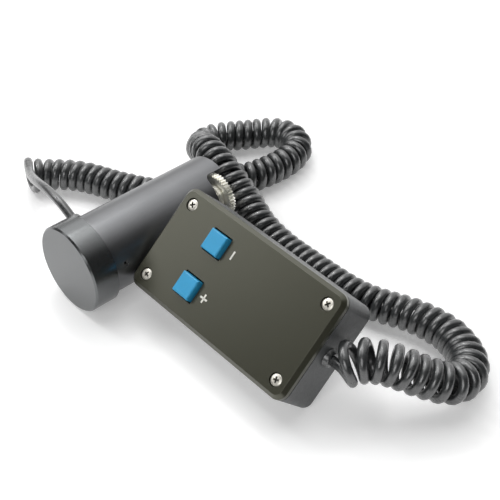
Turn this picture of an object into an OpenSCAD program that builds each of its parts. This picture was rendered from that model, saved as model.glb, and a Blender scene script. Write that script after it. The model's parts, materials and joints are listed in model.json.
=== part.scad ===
// Two-button hand controller on a curly cord, with the geared motor unit that it drives.
// Millimetres, +Z up. The motor unit's tube runs along +X, the handset lies on one long edge.

/* [Handset case] */
// Width of the handset
case_w = 52; // [46:0.5:60]
// Length of the handset
case_len = 99.5; // [89:0.5:120]
// Height of the handset with its lid
case_h = 26.5; // [23.5:0.5:32]
// Wall and floor thickness of the case
case_wall = 2; // [1.6:0.1:2.6]
// Corner radius of the handset in plan
corner_r = 5; // [4:0.5:7]
// Chamfer round the case's bottom edge
case_chamfer = 1; // [0.5:0.1:1.5]
// Radius of the screw bosses
boss_r = 3.5; // [3:0.1:3.8]

/* [Handset lid] */
// Height of the lid's edge
lid_t = 4.5; // [4:0.1:5.5]
// Thickness of the lid over its hollow
lid_plate_t = 2.6; // [2.2:0.1:3]
// Bevel round the lid's top edge
lid_bevel = 1.8; // [1:0.1:2.2]
// Height of the shadow line between lid and case
seam_h = 0.5; // [0.3:0.1:0.8]
// Depth of the shadow line
seam_deep = 0.6; // [0.4:0.1:1]
// Depth of the lip that drops inside the case
lip_h = 1.5; // [1:0.1:2]
// Thickness of the lip
lip_t = 1.4; // [1:0.1:1.8]
// Gap between the lip and the case wall
lip_gap = 0.15; // [0.1:0.05:0.3]
// Distance of the lid screws from the long walls' outer faces
screw_inset_x = 7.2; // [6.4:0.1:7.6]
// Distance of the lid screws from the end walls' outer faces
screw_inset_y = 7.2; // [6.4:0.1:7.6]
// Diameter of a lid screw's head
screw_head_d = 5.6; // [5:0.1:6]
// Height of a lid screw's head
screw_head_h = 1.5; // [1.2:0.1:1.8]
// Depth of the head's top below the lid's face
screw_sunk = 0.2; // [0:0.1:0.5]
// Thread diameter of a lid screw
screw_d = 2.9; // [2.4:0.1:3.2]
// Length of a lid screw below its head
screw_len = 12; // [8:1:16]
// Radial room round the screws' threads and heads
screw_room = 0.3; // [0.2:0.05:0.4]

/* [Buttons and switches] */
// Side of a square button cap
button_w = 10; // [8:0.5:11]
// Room for a return spring between a switch and its cap
spring_room = 4; // [3.6:0.1:4.4]
// Height of a cap above the lid
button_stand = 3; // [2.5:0.1:3.5]
// Gap round a cap in its window
button_gap = 0.7; // [0.4:0.1:1]
// Bevel round a cap's top
button_bevel = 0.5; // [0.3:0.1:1]
// Distance of the buttons from the long walls' outer faces
button_inset = 14.7; // [14.6:0.1:15.4]
// Distance of the buttons from the end wall beside them
button_end = 30.5; // [30:0.1:31]
// Travel of a button
button_travel = 1.5; // [1:0.1:2]
// Side of a switch body
switch_w = 12; // [11:0.5:12]
// Height of a switch body
switch_h = 8; // [7.5:0.1:8.5]
// Side of a switch plunger
plunger_w = 4; // [3:0.1:4.4]
// Depth of a plunger inside its switch at rest
plunger_deep = 3; // [2:0.1:3.5]
// Depth of a plunger inside its cap
plunger_grip = 3; // [2:0.1:4]
// Gap round a plunger in its switch
plunger_gap = 0.15; // [0.1:0.05:0.25]
// Mean diameter of a return spring
spring_d = 7.2; // [6.8:0.1:8.4]
// Wire diameter of a return spring
spring_wire = 0.6; // [0.5:0.1:0.7]
// Turns of a return spring
spring_turns = 3; // [2:1:3]
// Diameter of a switch pin
pin_d = 0.8; // [0.6:0.1:1]

/* [Board] */
// Room between the switch board and the long walls
board_room = 3; // [2.8:0.1:3.1]
// Length of the switch board
board_len = 21; // [20:0.5:22]
// Thickness of the switch board
board_t = 1.6; // [1.2:0.1:2]
// Height of the standoffs above the floor
standoff_h = 2.4; // [2:0.1:2.8]
// Radius of a standoff
standoff_r = 2; // [1.8:0.1:2.1]
// Thread diameter of a board screw
board_screw_d = 1.8; // [1.6:0.1:2]
// Head diameter of a board screw
board_screw_head_d = 3; // [2.6:0.1:3.2]
// Distance of the board screws from the board's edges
board_screw_edge = 2; // [1.8:0.1:2.1]

/* [Battery] */
// Width of the block battery
battery_w = 26.5; // [26:0.1:27]
// Room for the battery's terminals at the cord end
terminal_room = 15.3; // [15:0.1:16]
// Room for the leads between the battery and the lid's edge
lead_room = 2.5; // [2.2:0.1:3]
// Corner radius of the battery
battery_r = 2.5; // [1:0.5:3]
// Gap between the battery and the board
battery_gap = 0.6; // [0.4:0.1:1]
// Distance between the battery's two studs
stud_pitch = 12.7; // [12:0.1:13]
// Height of the studs
stud_h = 2.4; // [2:0.1:2.8]
// Thickness of the snap connector
snap_t = 4; // [3.5:0.1:4.4]
// Diameter of a lead
lead_d = 1.4; // [1:0.1:1.6]
// Clearance of the handset's leads above the switches
lead_switch_gap = 0.8; // [0.5:0.1:1]

/* [Cord] */
// Diameter of the cord
cord_d = 4.2; // [3.6:0.1:4.2]
// Outer diameter of the curls
curl_d = 16.5; // [15:0.1:16.6]
// Outer diameter of the wider curls at both ends
end_curl_d = 19.6; // [16.6:0.1:19.8]
// Curls over which they narrow, from the handset
taper_curls = 12; // [8:1:24]
// Number of curls
curls = 84.5; // [70.5:1:85.5]
// Least gap between neighbouring curls in the bends
curl_gap = 1.1; // [0.8:0.1:1.4]
// Pitch of the open curls next to the handset
open_pitch = 8; // [6:0.1:8.4]
// Curls that open out next to the handset
open_curls = 16; // [8:1:18]
// Height of the cord's exit above the case's base
exit_z = 12.5; // [11.5:0.1:13]
// Length of cord stub inside the handset
stub_len = 6; // [4:0.5:6.5]
// Diameter of the grommet's flange
grommet_d = 9; // [8:0.5:11]
// Diameter of the grommet's neck
grommet_neck_d = 6.6; // [6:0.1:7]
// Length of the grommet outside the case
grommet_out = 2.4; // [2:0.1:3]
// Gap round the cord in its grommets
cord_room = 0.05; // [0.02:0.01:0.1]

/* [Motor housing] */
// Outer diameter of the housing tube
tube_d = 39; // [38:0.1:41]
// Wall thickness of the housing tube
tube_wall = 1.5; // [1.2:0.1:1.8]
// Length of the motor unit from cap face to open end
unit_len = 87; // [78:0.5:96]
// Outer diameter of the end cap
cap_d = 43; // [42:0.1:46]
// Length of the end cap's head
cap_len = 12.7; // [10:0.1:13]
// Chamfer round the end cap's face
cap_chamfer = 0.8; // [0.4:0.1:1.2]
// Thickness of the end cap's face
cap_face_t = 3.5; // [2.5:0.1:5]
// Length of the cap's spigot inside the tube
spigot_len = 9; // [8.5:0.1:9.5]
// Wall thickness of the spigot
spigot_t = 3; // [2.5:0.1:3.5]
// Diameter of a cap set screw
set_screw_d = 3; // [2.5:0.1:3.5]
// Distance of the set screws from the cap's shoulder
set_screw_at = 6.3; // [5.5:0.1:6.5]
// Angle of the first set screw above the horizontal
set_screw_angle = 17.5; // [10:0.5:25]
// Distance of the cord bush from the cap's shoulder
bush_at = 4.4; // [4:0.1:5]
// Angle of the cord bush above the horizontal
bush_angle = 25; // [15:1:30]
// Diameter of the cord bush's neck
bush_neck_d = 6.4; // [6:0.1:6.8]
// Diameter of the cord bush's flange
bush_d = 8.4; // [8:0.1:9.5]
// Height of the cord bush's flange
bush_h = 2.5; // [2:0.1:3]

/* [Notch] */
// Room behind the drive gear's step ring in the notch
notch_room = 1.8; // [1:0.1:2.4]
// Room beside the drive gear in the notch
notch_side = 0.8; // [0.6:0.1:3]
// Radius of the notch's inner corners
notch_r = 2.5; // [1:0.5:4]

/* [Motor] */
// Room between the motor can and the tube
motor_room = 4.15; // [3.8:0.05:4.6]
// Gap between the motor's terminals and the cap's spigot
motor_gap = 0.1; // [0.1:0.1:1]
// Wall thickness of the motor can
can_wall = 0.8; // [0.6:0.1:1]
// Thickness of the magnets
magnet_t = 3.2; // [2.8:0.1:3.6]
// Distance of the magnets from both ends of the can
magnet_inset = 6; // [5:0.1:7]
// Length of the end bell
bell_len = 4.5; // [4:0.1:5]
// Air gap between the rotor's core and the magnets
air_gap = 0.85; // [0.4:0.05:1.2]
// Distance of the core's ends inside the magnets' ends
core_inset = 1; // [0.5:0.1:2]
// Diameter of the rotor's shaft
rotor_shaft_d = 2; // [1.5:0.1:2.3]
// Diameter of the commutator
commutator_d = 6; // [5:0.1:7]
// Length of the commutator
commutator_len = 4; // [3:0.1:5]
// Distance of the motor screws from the motor's axis
motor_screw_r = 8; // [7:0.1:9]
// Thread diameter of a motor screw
motor_screw_d = 2.4; // [2:0.1:2.6]

/* [Gearbox] */
// Module of the gearbox teeth
gear_module = 0.5; // [0.48:0.01:0.51]
// Teeth of each pinion
pinion_teeth = 10; // [10:1:11]
// Teeth of each cluster wheel
wheel_teeth = 26; // [24:1:26]
// Teeth of the output wheel
output_teeth = 20; // [18:1:20]
// Face width of a gear
gear_t = 2; // [1.6:0.1:2.2]
// Gap between neighbouring gear layers and plates
gear_gap = 0.5; // [0.4:0.05:0.7]
// Thickness of the gearbox's front plate
front_plate_t = 3; // [2.5:0.1:3.4]
// Thickness of the gearbox's rear plate
rear_plate_t = 2.5; // [2:0.1:3]
// Diameter of the fixed arbors
arbor_d = 2; // [1.6:0.1:2.2]
// Running clearance of shafts and arbors, on the radius
run_gap = 0.05; // [0.03:0.01:0.08]
// Diameter of a pillar
pillar_d = 3; // [2.5:0.1:3.4]
// Distance of the pillars' axes from the tube's bore
pillar_inset = 2.5; // [2.2:0.1:3]
// Gap between the rear plate and the tube
plate_gap = 0.5; // [0.3:0.1:0.8]

/* [Output shaft and drive gear] */
// Distance of the output shaft's axis from the tube's bore
shaft_inset = 6; // [5.8:0.1:6.5]
// Angle of the output shaft's offset above the horizontal
shaft_angle = 35.5; // [30:0.5:40]
// Diameter of the output shaft
shaft_d = 5; // [4:0.1:5.4]
// Outer diameter of the output shaft's bush
shaft_bush_d = 8.4; // [8:0.1:9]
// Length of the bush in front of its plate
shaft_bush_out = 1.5; // [1:0.1:1.8]
// Outer diameter of the drive gear
drive_d = 22; // [21:0.1:22.6]
// Teeth of the drive gear
drive_teeth = 40; // [36:1:60]
// Face width of the drive gear
drive_t = 3; // [2.5:0.1:3.5]
// Depth of the drive gear inside the open end
drive_inset = 3.2; // [2.8:0.1:3.6]
// Diameter of the drive gear's hub
hub_d = 11.2; // [10:0.1:11.6]
// Length of the drive gear's hub
hub_len = 5; // [4.5:0.1:5.4]
// Width of the step ring round the hub
hub_ring_w = 1.6; // [1:0.1:2]
// Height of the step ring round the hub
hub_ring_h = 0.7; // [0.4:0.1:1]
// Diameter of the drive gear's set screw
drive_screw_d = 2; // [1.6:0.1:2.2]

/* [Rest pose] */
// Roll of the handset about its length
handset_roll = 41; // [36:0.5:44]
// Distance of the handset's middle from the cap's face, along the tube
handset_place = 55; // [53:0.1:57]
// Gap between the handset's end wall and the tube
handset_gap = 0.8; // [0.3:0.1:1.5]

/* [Hidden] */
$fn = 64;
hull_fn = 32;
eps = 0.01;
side_names = ["near", "far"];

case_body_h = case_h - lid_t;
case_inner_r = corner_r - case_wall;
lip_inset = case_wall + lip_gap;
pocket_inset = lip_inset + lip_t;
screw_x = case_w / 2 - screw_inset_x;
screw_y = case_len / 2 - screw_inset_y;
button_x = case_w / 2 - button_inset;
button_y = case_len / 2 - button_end;
board_z = case_wall + standoff_h;
switch_z = board_z + board_t;
switch_top = switch_z + switch_h;
cap_top = case_h + button_stand;
cap_bottom = switch_top + spring_room;
button_h = cap_top - cap_bottom;
board_w = case_w - 2 * (case_wall + board_room);
board_y = button_y - switch_w / 2 - 0.6 + board_len / 2;
board_edge_y = board_y - board_len / 2;
battery_front_y = board_edge_y - battery_gap;
battery_back_y = -case_len / 2 + terminal_room;
battery_len = battery_front_y - battery_back_y;
battery_z = case_wall;
battery_h = case_body_h - case_wall - lead_room;
battery_mid_z = battery_z + battery_h / 2;
snap_y = battery_back_y - snap_t;
lead_z = case_body_h - lead_room / 2;
battery_lead_x = 1.2;
handset_lead_x = 3.4;
lead_over_z = switch_top + lead_d / 2 + lead_switch_gap;
board_land_y = button_y + switch_w / 2 + lead_d + lead_switch_gap;

tube_r = tube_d / 2;
bore_r = tube_r - tube_wall;
cap_r = cap_d / 2;
spigot_r = bore_r - 0.1;
lean = atan((cap_r - tube_r) / (unit_len - cap_len));
spigot_end = cap_len + spigot_len;
set_screw_u = cap_len + set_screw_at;
bush_u = cap_len + bush_at;
notch_angle = 180 - shaft_angle;

hub_mid = hub_len * 0.6;
notch_w = drive_d + 2 * notch_side;
notch_len = drive_inset + drive_t + hub_len - hub_mid + notch_room;
drive_u = unit_len - drive_inset - drive_t;
hub_u = drive_u - hub_len;
front_plate_u = hub_u - gear_gap - shaft_bush_out - front_plate_t;
layer_step = gear_t + gear_gap;
layer_u = [for (k = [3:-1:1]) front_plate_u - k * layer_step];
rear_plate_u = layer_u[0] - gear_gap - rear_plate_t;
terminal_x = 5;
terminal_h = 2;
bell_u = spigot_end + motor_gap + terminal_h;
can_u = bell_u + bell_len;
motor_d = 2 * (bore_r - motor_room);
motor_len = rear_plate_u - can_u;
can_bore_r = motor_d / 2 - can_wall;
magnet_u = can_u + magnet_inset + 1;
magnet_len = motor_len - 2 * magnet_inset;
core_u = magnet_u + core_inset;
core_len = magnet_len - 2 * core_inset;
core_d = 2 * (can_bore_r - magnet_t - air_gap);
commutator_u = core_u - commutator_len - 1;
motor_screw_head_d = motor_screw_d * 1.7;
screw_recess = 1.2;

output_at = (bore_r - shaft_inset) * [cos(notch_angle), sin(notch_angle)];
output_reach = gear_module * (pinion_teeth + output_teeth) / 2;
cluster_reach = gear_module * (pinion_teeth + wheel_teeth) / 2;
second_at = output_at + [output_reach, 0];
first_at = second_at / 2 + sqrt(pow(cluster_reach, 2) - pow(norm(second_at) / 2, 2))
    * [second_at[1], -second_at[0]] / norm(second_at);
second_phase = mesh_phase(output_teeth, 0, pinion_teeth, 0);
first_phase = mesh_phase(wheel_teeth, second_phase, pinion_teeth, heading(first_at - second_at));
motor_phase = mesh_phase(wheel_teeth, first_phase, pinion_teeth, heading(-first_at));
pillar_angles = [75, 200, 320];
motor_screw_angles = [135, 315];
set_screw_angles = [180 - set_screw_angle, 360 - set_screw_angle];

// The assembly's box is centred on the origin in X and Y and stands on z = 0
unit_x = -(unit_len * cos(lean) + tube_r * sin(lean) - (cap_r - cap_chamfer) * sin(lean)) / 2;
tube_y = (case_len + handset_gap + tube_r - cap_r) / 2;
unit_z = cap_len * sin(lean) + cap_r * cos(lean);
handset_x = unit_x + handset_place;
handset_y = tube_y - tube_r - handset_gap - case_len / 2;
handset_z = (case_w / 2 - case_chamfer) * sin(handset_roll);

// Middle line of the curls, from the handset to the motor unit
curl_route = [
    [5, -80, 28], [11, -82.5, 28.5], [16.5, -87, 27.3], [22, -92, 24.5], [26.5, -96, 21],
    [31, -99.7, 18], [36, -103, 15], [43, -105.6, 12], [50, -105.8, 10.3], [56.5, -103, 9.8],
    [61.5, -97.7, 9.7], [64.3, -90.7, 9.6], [64.5, -82.5, 9.4], [61.5, -69, 9.2], [54.5, -42, 8.6],
    [50.5, -9, 8.5], [50.7, 8, 9.5], [51.7, 22, 13.5], [52.5, 35.5, 19.5], [54, 49, 25],
    [56, 60, 27], [59, 71, 26], [64, 81, 18.5], [70, 89, 12], [77, 94, 9], [85, 93, 8.5],
    [99, 84, 8.5], [110.5, 76, 8.5], [115, 66.5, 8.5], [111, 57, 8.5], [101, 53, 8.5],
    [88, 53, 8.5], [74, 56, 8.5], [61, 63.5, 8.5], [48, 74, 8.5], [34, 85.5, 8.5],
    [22, 96, 8.5], [10.5, 115, 8.5], [-1, 127.5, 8.9], [-10.5, 133.5, 10.5]
];
route_steps = 12;
curl_rings = 8;
cord_sides = 6;
lead_sides = 8;
tail_rings = 7;
curl_r = (curl_d - cord_d) / 2;
end_curl_r = (end_curl_d - cord_d) / 2;
last_curls = 1.5;
// The tail from the handset joins the first curl at this ring, on its way up
first_ring = 2;
// How far each tail's ends keep their direction: out of the handset, into the curls, at the unit
tail_pull = [12, 44, 60];

handset_exit = from_handset([0, -case_len / 2 - grommet_out, exit_z]);
handset_exit_dir = [0, -1, 0];
unit_exit = from_unit((tube_r + bush_h) * [cos(bush_angle), sin(bush_angle), 0] + [0, 0, bush_u]);
unit_exit_dir = from_unit([cos(bush_angle), sin(bush_angle), 0]) - from_unit([0, 0, 0]);

// Angle of a plane vector
function heading(v) = atan2(v[1], v[0]);
function unit(v) = v / norm(v);
// Phase that puts gear b in mesh with gear a, seen from a towards b
function mesh_phase(teeth_a, phase_a, teeth_b, dir) =
    dir + 180 - (180 - teeth_a * (dir - phase_a)) / teeth_b;

// A point of the handset or of the motor unit, in the part's frame
function from_handset(p) = [
    handset_x + p[0] * cos(handset_roll) - p[2] * sin(handset_roll),
    handset_y + p[1],
    handset_z + p[0] * sin(handset_roll) + p[2] * cos(handset_roll)
];
function from_unit(p) = [
    unit_x + p[2] * cos(lean) + p[1] * sin(lean),
    tube_y + p[0],
    unit_z - p[2] * sin(lean) + p[1] * cos(lean)
];

// Involute half angle of a tooth at radius r
function involute(a) = tan(a) * 180 / PI - a;
function tooth_half(r, base_r, pitch_half) =
    pitch_half + involute(20) - involute(acos(base_r / max(r, base_r)));
// Outline of an involute gear, slimmed for backlash
function gear_outline(teeth, phase) =
    let (pitch_r = gear_module * teeth / 2, base_r = pitch_r * cos(20),
         root_r = pitch_r - 1.15 * gear_module, tip_r = pitch_r + 0.75 * gear_module,
         half = 90 / teeth * 0.82, radii = [root_r, max(root_r, base_r), pitch_r, tip_r])
    [for (k = [0:teeth - 1], s = [-1, 1], j = [0:3])
        let (r = radii[s < 0 ? j : 3 - j],
             a = phase + 360 * k / teeth + s * tooth_half(r, base_r, half))
        r * [cos(a), sin(a)]];

// Catmull-Rom curve through points p, with the given steps from point to point
function curve_point(a, b, c, d, t) =
    (2 * b + (c - a) * t + (2 * a - 5 * b + 4 * c - d) * t * t
        + (3 * b - a - 3 * c + d) * t * t * t) / 2;
function curve(p, steps) = let (last = len(p) - 1) [
    for (i = [0:last - 1], k = [0:steps - 1])
        curve_point(p[max(i - 1, 0)], p[i], p[i + 1], p[min(i + 2, last)], k / steps),
    p[last]
];
// Cubic from p to q that leaves along v and arrives along w
function bridge(p, v, q, w, t) =
    p * (2 * t * t * t - 3 * t * t + 1) + v * (t * t * t - 2 * t * t + t)
    + q * (3 * t * t - 2 * t * t * t) + w * (t * t * t - t * t);
function tangents(p) = let (last = len(p) - 1)
    [for (i = [0:last]) unit(p[min(i + 1, last)] - p[max(i - 1, 0)])];

// Curls: the pitch opens in bends, so that neighbours stay apart on the inside
curl_axis = curve(curl_route, route_steps);
curl_dirs = tangents(curl_axis);
axis_last = len(curl_axis) - 1;
function bend(i) = let (a = max(i - 3, 0), b = min(i + 3, axis_last))
    norm(curl_dirs[b] - curl_dirs[a]) / norm(curl_axis[b] - curl_axis[a]);
function sparseness(i) = let (inside = 1 - curl_radius(i / axis_last * curls) * bend(i))
    max(1, (1 + curl_gap / cord_d) * 0.8 / max(0.2, inside));
function opening(i) = 1 + (open_pitch / 5.2 - 1) * max(0, 1 - i / axis_last * curls / open_curls);
axis_phase = [
    for (i = 0, s = 0; i <= axis_last;
         s = s + (i < axis_last
            ? norm(curl_axis[i + 1] - curl_axis[i]) / max(sparseness(i), opening(i)) : 0),
         i = i + 1) s
];
phase_table = [for (i = [0:axis_last]) [axis_phase[i] / axis_phase[axis_last] * curls, i]];
function curl_radius(turn) = max(curl_r,
    end_curl_r - (end_curl_r - curl_r) * turn / taper_curls,
    end_curl_r - (end_curl_r - curl_r) * (curls - turn) / last_curls);
function curl_point(turn) =
    let (f = lookup(turn, phase_table), i = min(floor(f), axis_last - 1), t = f - i,
         at = curl_axis[i] * (1 - t) + curl_axis[i + 1] * t,
         dir = unit(curl_dirs[i] * (1 - t) + curl_dirs[i + 1] * t),
         left = unit([-dir[1], dir[0], 0]), up = cross(dir, left))
    at - curl_radius(turn) * (cos(360 * turn) * up + sin(360 * turn) * left);
curl_points = [for (k = [first_ring:curls * curl_rings]) curl_point(k / curl_rings)];
curl_last = len(curl_points) - 1;
first_dir = unit(curl_point(first_ring / curl_rings + 0.02) - curl_points[0]);
last_dir = unit(curl_point(curls) - curl_point(curls - 0.02));
first_from = handset_exit + cord_d * handset_exit_dir;
last_to = unit_exit + cord_d * unit_exit_dir;
cord_path = [
    handset_exit,
    for (k = [0:tail_rings - 1])
        bridge(first_from, tail_pull[0] * handset_exit_dir, curl_points[0],
               tail_pull[1] * first_dir, k / tail_rings),
    each curl_points,
    for (k = [1:tail_rings * 2])
        bridge(curl_points[curl_last], tail_pull[2] * last_dir, last_to,
               -tail_pull[2] * unit_exit_dir, k / (tail_rings * 2)),
    unit_exit
];
// Least gap of the cord to itself, between points at least most of a curl apart
function least_gap(p, skip) = min([
    for (a = [0:len(p) - 1 - skip], b = [a + skip:len(p) - 1]) norm(p[a] - p[b])
]) - cord_d;

// Tube of radius r swept along p, with its two end faces square to the given directions
module tube_along(p, r, sides, first, last) {
    n = len(p) - 1;
    t = [for (i = [0:n]) i == 0 ? first : i == n ? last : unit(p[i + 1] - p[i - 1])];
    start = unit(cross(t[0], abs(t[0][2]) < 0.9 ? [0, 0, 1] : [1, 0, 0]));
    sides_dir = [
        for (i = 0, v = start; i <= n;
             v = i < n ? unit(v - (v * t[i + 1]) * t[i + 1]) : v, i = i + 1) v
    ];
    points = [
        for (i = [0:n], k = [0:sides - 1])
            let (a = 360 * k / sides)
            p[i] + r * (cos(a) * sides_dir[i] + sin(a) * cross(t[i], sides_dir[i]))
    ];
    faces = [
        for (i = [0:n - 1], k = [0:sides - 1])
            let (a = i * sides + k, b = i * sides + (k + 1) % sides)
            each [[a, a + sides, b], [b, a + sides, b + sides]],
        for (k = [1:sides - 2]) [0, k, k + 1],
        for (k = [1:sides - 2]) let (z = n * sides) [z, z + k + 1, z + k]
    ];
    polyhedron(points, faces, convexity = 10);
}

module at_handset() {
    translate([handset_x, handset_y, handset_z]) rotate([0, -handset_roll, 0]) children();
}

module at_unit() {
    translate([unit_x, tube_y, unit_z]) rotate([0, lean, 0]) rotate([90, 0, 90]) children();
}

// Local Z points out of the tube, at an angle round its axis and a distance along it
module on_tube(angle, u) {
    translate([0, 0, u]) rotate([0, 0, angle]) rotate([0, 90, 0]) children();
}

module rounded_rect(w, l, r) {
    square([w - 2 * r, l], center = true);
    square([w, l - 2 * r], center = true);
    for (x = [-1, 1], y = [-1, 1]) translate([x * (w / 2 - r), y * (l / 2 - r)]) circle(r);
}

module rounded_block(w, l, h, r) {
    linear_extrude(h) rounded_rect(w, l, r);
}

module centred_box(w, l, h) {
    translate([-w / 2, -l / 2, 0]) cube([w, l, h]);
}

module lid_screw_places() {
    for (x = [-1, 1], y = [-1, 1]) translate([x * screw_x, y * screw_y, 0]) children();
}

module board_screw_places() {
    dx = board_w / 2 - board_screw_edge;
    dy = board_len / 2 - board_screw_edge;
    for (x = [-1, 1], y = [-1, 1]) translate([x * dx, board_y + y * dy, 0]) children();
}

module button_place(side) {
    translate([(side == "near" ? 1 : -1) * button_x, button_y, 0]) children();
}

// Local Z points out of the handset's cord end wall, from its outer face
module cord_end() {
    translate([0, -case_len / 2, exit_z]) rotate([90, 0, 0]) children();
}

module handset_case() color([0.16, 0.17, 0.18]) at_handset() difference() {
    union() {
        difference() {
            hull() {
                $fn = hull_fn;
                rounded_block(case_w - 2 * case_chamfer, case_len - 2 * case_chamfer, eps,
                              corner_r - case_chamfer);
                translate([0, 0, case_chamfer])
                    rounded_block(case_w, case_len, case_body_h - case_chamfer, corner_r);
            }
            translate([0, 0, case_wall])
                rounded_block(case_w - 2 * case_wall, case_len - 2 * case_wall, case_h, case_inner_r);
        }
        lid_screw_places() translate([0, 0, case_wall - eps])
            cylinder(r = boss_r, h = case_body_h - case_wall + eps);
        board_screw_places() translate([0, 0, case_wall - eps])
            cylinder(r = standoff_r, h = standoff_h + eps);
    }
    lid_screw_places() translate([0, 0, case_h - screw_sunk - screw_head_h - screw_len - 1])
        cylinder(d = screw_d + 0.1, h = case_h);
    board_screw_places() translate([0, 0, case_wall]) cylinder(d = board_screw_d + 0.1, h = case_h);
    cord_end() translate([0, 0, -case_wall - 1])
        cylinder(d = grommet_neck_d + 2 * cord_room, h = case_wall + 2);
}

module handset_lid() color([0.2, 0.2, 0.17]) at_handset() difference() {
    union() {
        hull() {
            $fn = hull_fn;
            translate([0, 0, case_body_h + seam_h])
                rounded_block(case_w, case_len, lid_t - lid_bevel - seam_h, corner_r);
            translate([0, 0, case_h - eps])
                rounded_block(case_w - 2 * lid_bevel, case_len - 2 * lid_bevel, eps, corner_r - lid_bevel);
        }
        translate([0, 0, case_body_h])
            rounded_block(case_w - 2 * seam_deep, case_len - 2 * seam_deep, seam_h + eps,
                          corner_r - seam_deep);
        translate([0, 0, case_body_h - lip_h]) difference() {
            rounded_block(case_w - 2 * lip_inset, case_len - 2 * lip_inset, lip_h + eps,
                          corner_r - lip_inset);
            lid_screw_places() translate([0, 0, -1]) cylinder(r = boss_r + screw_room, h = lip_h + 1);
        }
    }
    translate([0, 0, case_body_h - lip_h - 1]) difference() {
        rounded_block(case_w - 2 * pocket_inset, case_len - 2 * pocket_inset,
                      lip_h + 1 + lid_t - lid_plate_t, corner_r - pocket_inset);
        lid_screw_places() translate([0, 0, lip_h + 1]) cylinder(r = boss_r, h = lid_t);
    }
    lid_screw_places() {
        translate([0, 0, case_h - screw_sunk - screw_head_h])
            cylinder(d = screw_head_d + 2 * screw_room, h = lid_t);
        translate([0, 0, case_body_h - 1]) cylinder(d = screw_d + 2 * screw_room, h = lid_t + 2);
    }
    for (side = side_names) button_place(side) translate([0, 0, case_body_h - lip_h])
        centred_box(button_w + 2 * button_gap, button_w + 2 * button_gap, case_h);
}

module lid_screws() color([0.82, 0.8, 0.74]) at_handset()
    lid_screw_places() translate([0, 0, case_h - screw_sunk]) difference() {
        union() {
            translate([0, 0, -screw_head_h]) cylinder(d = screw_head_d, h = screw_head_h);
            translate([0, 0, -screw_head_h - screw_len]) cylinder(d = screw_d, h = screw_len + eps);
        }
        for (a = [0, 90]) rotate([0, 0, a]) translate([0, 0, -1])
            centred_box(screw_head_d * 0.6, screw_head_d * 0.16, 2);
    }

module button_cap(side) color([0.1, 0.42, 0.66]) at_handset() button_place(side) difference() {
    hull() {
        translate([0, 0, cap_bottom]) centred_box(button_w, button_w, button_h - button_bevel);
        translate([0, 0, cap_top - eps])
            centred_box(button_w - 2 * button_bevel, button_w - 2 * button_bevel, eps);
    }
    translate([0, 0, cap_bottom - 1]) centred_box(plunger_w, plunger_w, plunger_grip + 1);
}

module near_button_cap() button_cap("near");
module far_button_cap() button_cap("far");

module plunger(side) color([0.85, 0.85, 0.8]) at_handset() button_place(side)
    translate([0, 0, switch_top - plunger_deep])
        centred_box(plunger_w, plunger_w, cap_bottom + plunger_grip - switch_top + plunger_deep);

module near_plunger() plunger("near");
module far_plunger() plunger("far");

spring_low = switch_top + spring_wire / 2 + 0.05;
spring_high = cap_bottom - spring_wire / 2 - 0.05;
spring_steps = 12;
spring_path = [
    for (k = [0:spring_turns * spring_steps])
        let (a = 360 * k / spring_steps)
        [spring_d / 2 * cos(a), spring_d / 2 * sin(a),
         spring_low + (spring_high - spring_low) * k / (spring_turns * spring_steps)]
];

module return_spring(side) color([0.7, 0.7, 0.72]) at_handset() button_place(side)
    tube_along(spring_path, spring_wire / 2, cord_sides, [0, 1, 0], [0, 1, 0]);

module near_return_spring() return_spring("near");
module far_return_spring() return_spring("far");

module switch_pins(d) {
    for (x = [-1, 1], y = [-1, 0, 1])
        translate([x * switch_w / 3, y * switch_w / 3, board_z - 1]) cylinder(d = d, h = board_t + 1 + eps);
}

module switch_body(side) color([0.1, 0.1, 0.1]) at_handset() button_place(side) {
    difference() {
        translate([0, 0, switch_z]) centred_box(switch_w, switch_w, switch_h);
        translate([0, 0, switch_top - plunger_deep - button_travel - 1])
            centred_box(plunger_w + 2 * plunger_gap, plunger_w + 2 * plunger_gap, switch_h);
    }
    switch_pins(pin_d);
}

module near_switch_body() switch_body("near");
module far_switch_body() switch_body("far");

module switch_board() color([0.1, 0.32, 0.16]) at_handset() difference() {
    translate([0, board_y, board_z]) centred_box(board_w, board_len, board_t);
    board_screw_places() translate([0, 0, board_z - 1]) cylinder(d = board_screw_d + 0.2, h = board_t + 2);
    for (side = side_names) button_place(side) translate([0, 0, -1]) switch_pins(pin_d + 0.2);
    for (side = side_names) button_place(side) switch_pins(pin_d + 0.2);
}

module board_screws() color([0.7, 0.7, 0.7]) at_handset()
    board_screw_places() translate([0, 0, switch_z]) {
        cylinder(d = board_screw_head_d, h = 1);
        translate([0, 0, -board_t - standoff_h + 0.2]) cylinder(d = board_screw_d, h = board_t + standoff_h);
    }

module stud_places() {
    for (x = [-1, 1]) translate([x * stud_pitch / 2, 0, battery_mid_z])
        rotate([90, 0, 0]) children();
}

module block_battery() color([0.3, 0.3, 0.33]) at_handset() {
    translate([0, battery_front_y, battery_mid_z]) rotate([90, 0, 0])
        rounded_block(battery_w, battery_h, battery_len, battery_r);
    translate([0, battery_back_y + eps, 0]) stud_places() cylinder(d = 5.6, h = stud_h + eps);
}

module battery_snap() color([0.08, 0.08, 0.08]) at_handset() difference() {
    translate([0, battery_back_y, battery_mid_z]) rotate([90, 0, 0])
        rounded_block(battery_w - 1, 12, snap_t, 2);
    translate([0, battery_back_y + 1, 0]) stud_places() cylinder(d = 6, h = stud_h + 1.2);
}

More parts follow.
